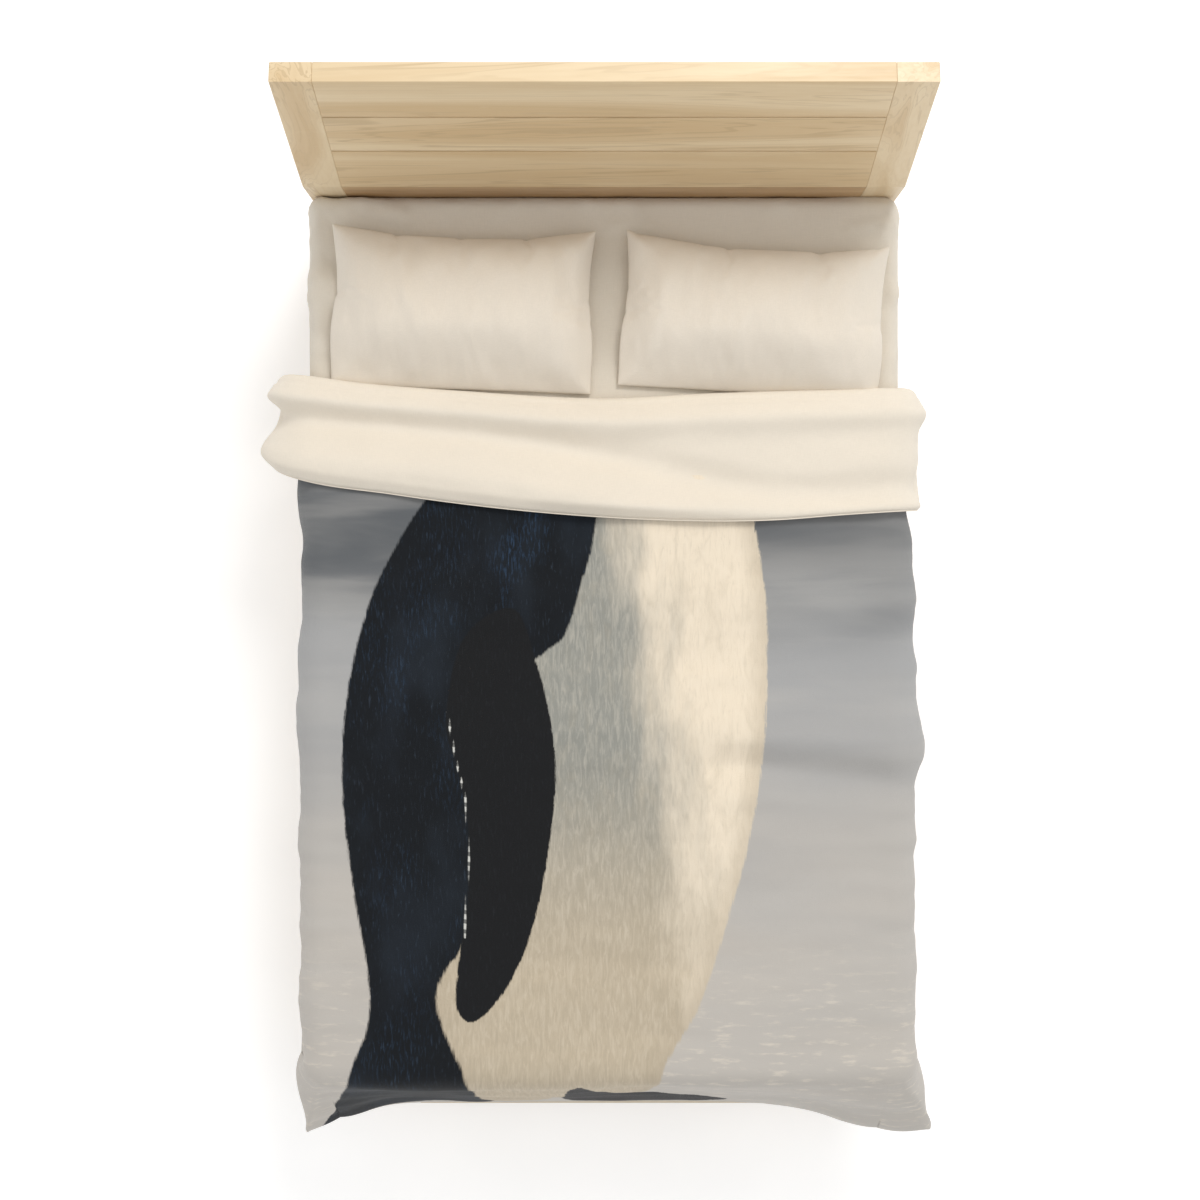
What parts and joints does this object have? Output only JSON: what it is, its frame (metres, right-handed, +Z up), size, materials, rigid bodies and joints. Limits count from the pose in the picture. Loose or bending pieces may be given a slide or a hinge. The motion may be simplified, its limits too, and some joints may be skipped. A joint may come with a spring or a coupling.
{
  "type": "made bed with printed duvet",
  "caption": "Made bed: leaning plank headboard on a slatted wooden frame, with mattress, fitted sheet, pillows and a zipped, picture-printed duvet folded back as a cuff.",
  "frame": {"origin": "floor level under the middle of the bed outline", "axes": "+Z up, +Y towards the headboard, +X to the right of someone standing at the foot"},
  "size_m": [1.499, 2.3391, 1.1667],
  "materials": {
    "maple": "clear satin maple",
    "dowel_beech": "plain beech",
    "slat_pine": "sanded pine",
    "zinc_steel": "zinc plated",
    "hanger_steel": "black powder coat",
    "felt": "pressed felt",
    "ticking": "knitted ticking",
    "spring_unit": "pocketed springs in fabric",
    "foam": "open foam",
    "sheet_linen": "cream woven cotton",
    "elastic": "knitted elastic",
    "pillow_linen": "cream brushed cotton",
    "fibre_fill": "loose polyester fibre",
    "duvet_back_linen": "cream brushed cotton",
    "duvet_front_print": "printed brushed cotton",
    "zip_tape": "woven zip tape",
    "zip_metal": "satin"
  },
  "bodies": {
    "bed_frame": {"barrel_nuts": "zinc_steel", "beam_hanger_foot": "hanger_steel", "beam_hanger_head": "hanger_steel", "bed_bolts": "zinc_steel", "centre_beam": "slat_pine", "centre_leg_1": "slat_pine", "centre_leg_2": "slat_pine", "floor_glides": "felt", "foot_post_left": "maple", "foot_post_right": "maple", "foot_rail": "maple", "head_cross_rail": "maple", "headboard_back_board": "maple", "headboard_dowels": "dowel_beech", "headboard_plank_lower": "maple", "headboard_plank_middle": "maple", "headboard_plank_top": "maple", "headboard_stile_left": "maple", "headboard_stile_right": "maple", "ledger_screws": "zinc_steel", "side_rail_left": "maple", "side_rail_right": "maple", "slat_01": "slat_pine", "slat_02": "slat_pine", "slat_03": "slat_pine", "slat_04": "slat_pine", "slat_05": "slat_pine", "slat_06": "slat_pine", "slat_07": "slat_pine", "slat_08": "slat_pine", "slat_09": "slat_pine", "slat_10": "slat_pine", "slat_11": "slat_pine", "slat_12": "slat_pine", "slat_13": "slat_pine", "slat_ledger_left": "slat_pine", "slat_ledger_right": "slat_pine"},
    "mattress": {"fitted_sheet": "sheet_linen", "fitted_sheet_elastic": "elastic", "mattress_base_felt": "felt", "mattress_comfort_foam": "foam", "mattress_cover": "ticking", "mattress_spring_unit": "spring_unit"},
    "duvet": {"duvet_cover_back": "duvet_back_linen", "duvet_cover_front": "duvet_front_print", "duvet_filling": "fibre_fill", "zip_coil": "zip_tape", "zip_stops": "zip_metal", "zip_tape_inner": "zip_tape", "zip_tape_outer": "zip_tape"},
    "pillow_left": {"pillow_filling_left": "fibre_fill", "pillowcase_left": "pillow_linen"},
    "pillow_right": {"pillow_filling_right": "fibre_fill", "pillowcase_right": "pillow_linen"},
    "zip_slider": {"zip_slider": "zip_metal"},
    "zip_pull": {"zip_pull": "zip_metal"}
  },
  "joints": [
    {"name": "mattress_lift", "type": "slide", "parent": "bed_frame", "child": "mattress", "axis": [0, 0, 1], "range_m": [0, 0.35]},
    {"name": "duvet_lift", "type": "slide", "parent": "mattress", "child": "duvet", "axis": [0, 0, 1], "range_m": [0, 0.45]},
    {"name": "pillow_left_lift", "type": "slide", "parent": "mattress", "child": "pillow_left", "axis": [0, 0, 1], "range_m": [0, 0.35]},
    {"name": "pillow_right_lift", "type": "slide", "parent": "mattress", "child": "pillow_right", "axis": [0, 0, 1], "range_m": [0, 0.35]},
    {"name": "zip_slide", "type": "slide", "parent": "duvet", "child": "zip_slider", "axis": [1, 0, 0], "range_m": [0, 0.879]},
    {"name": "zip_pull_swing", "type": "hinge", "parent": "zip_slider", "child": "zip_pull", "pos_m": [-0.44, -1.15569, 0.2595], "axis": [0, 1, 0], "range_deg": [-80, 80]}
  ]
}
